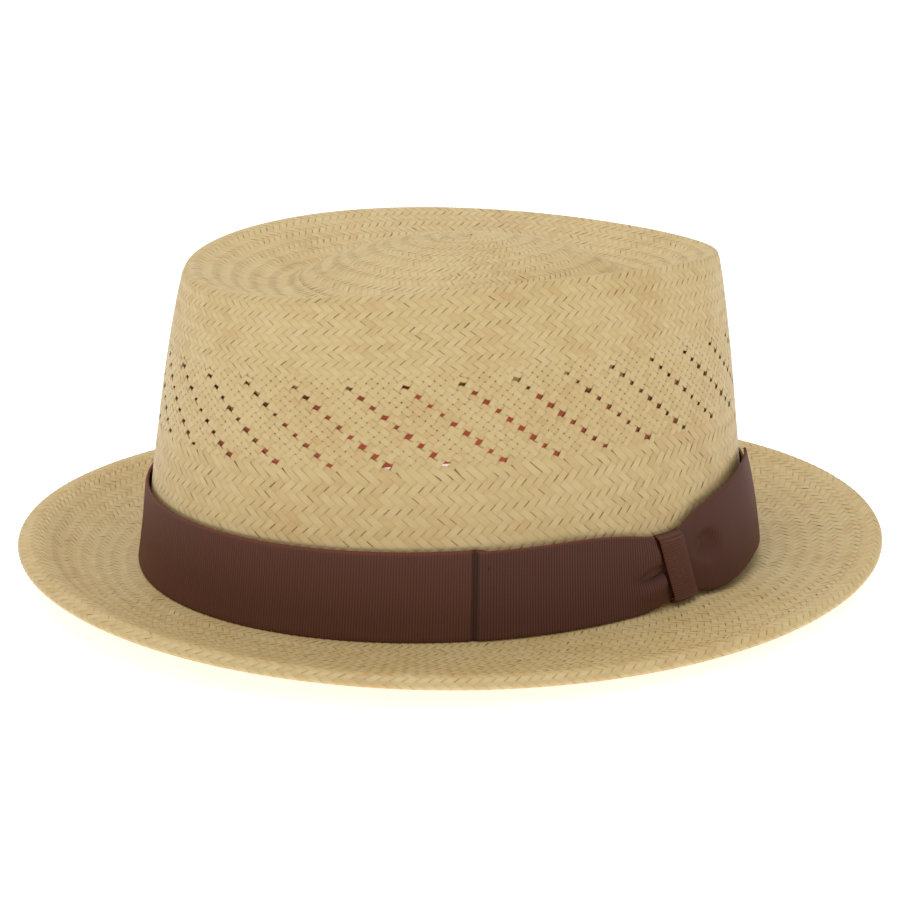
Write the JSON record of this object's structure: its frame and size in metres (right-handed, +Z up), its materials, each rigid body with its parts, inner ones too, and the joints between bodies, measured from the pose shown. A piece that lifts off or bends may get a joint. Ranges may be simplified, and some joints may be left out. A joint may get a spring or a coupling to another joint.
{
  "type": "porkpie hat",
  "caption": "Straw porkpie hat with a teardrop crown, pierced crown wall, narrow curled brim, ribbon band with a flat bow, and an inner sweatband.",
  "frame": {"origin": "on the floor the hat rests on, under the middle of the brim's oval", "axes": "+Z up, -X towards the hat's front, -Y towards the wearer's left side with the bow"},
  "size_m": [0.296, 0.2546, 0.108],
  "materials": {
    "straw": "woven pale straw in a herringbone twill, satin",
    "ribbon": "dark brown grosgrain with fine upright ribs",
    "sweatband": "smooth russet leather, low sheen"
  },
  "bodies": {
    "root": {"straw_body": "straw", "hat_band": "ribbon", "bow_flat": "ribbon", "bow_knot": "ribbon", "bow_tail": "ribbon", "sweatband": "sweatband"}
  },
  "joints": []
}
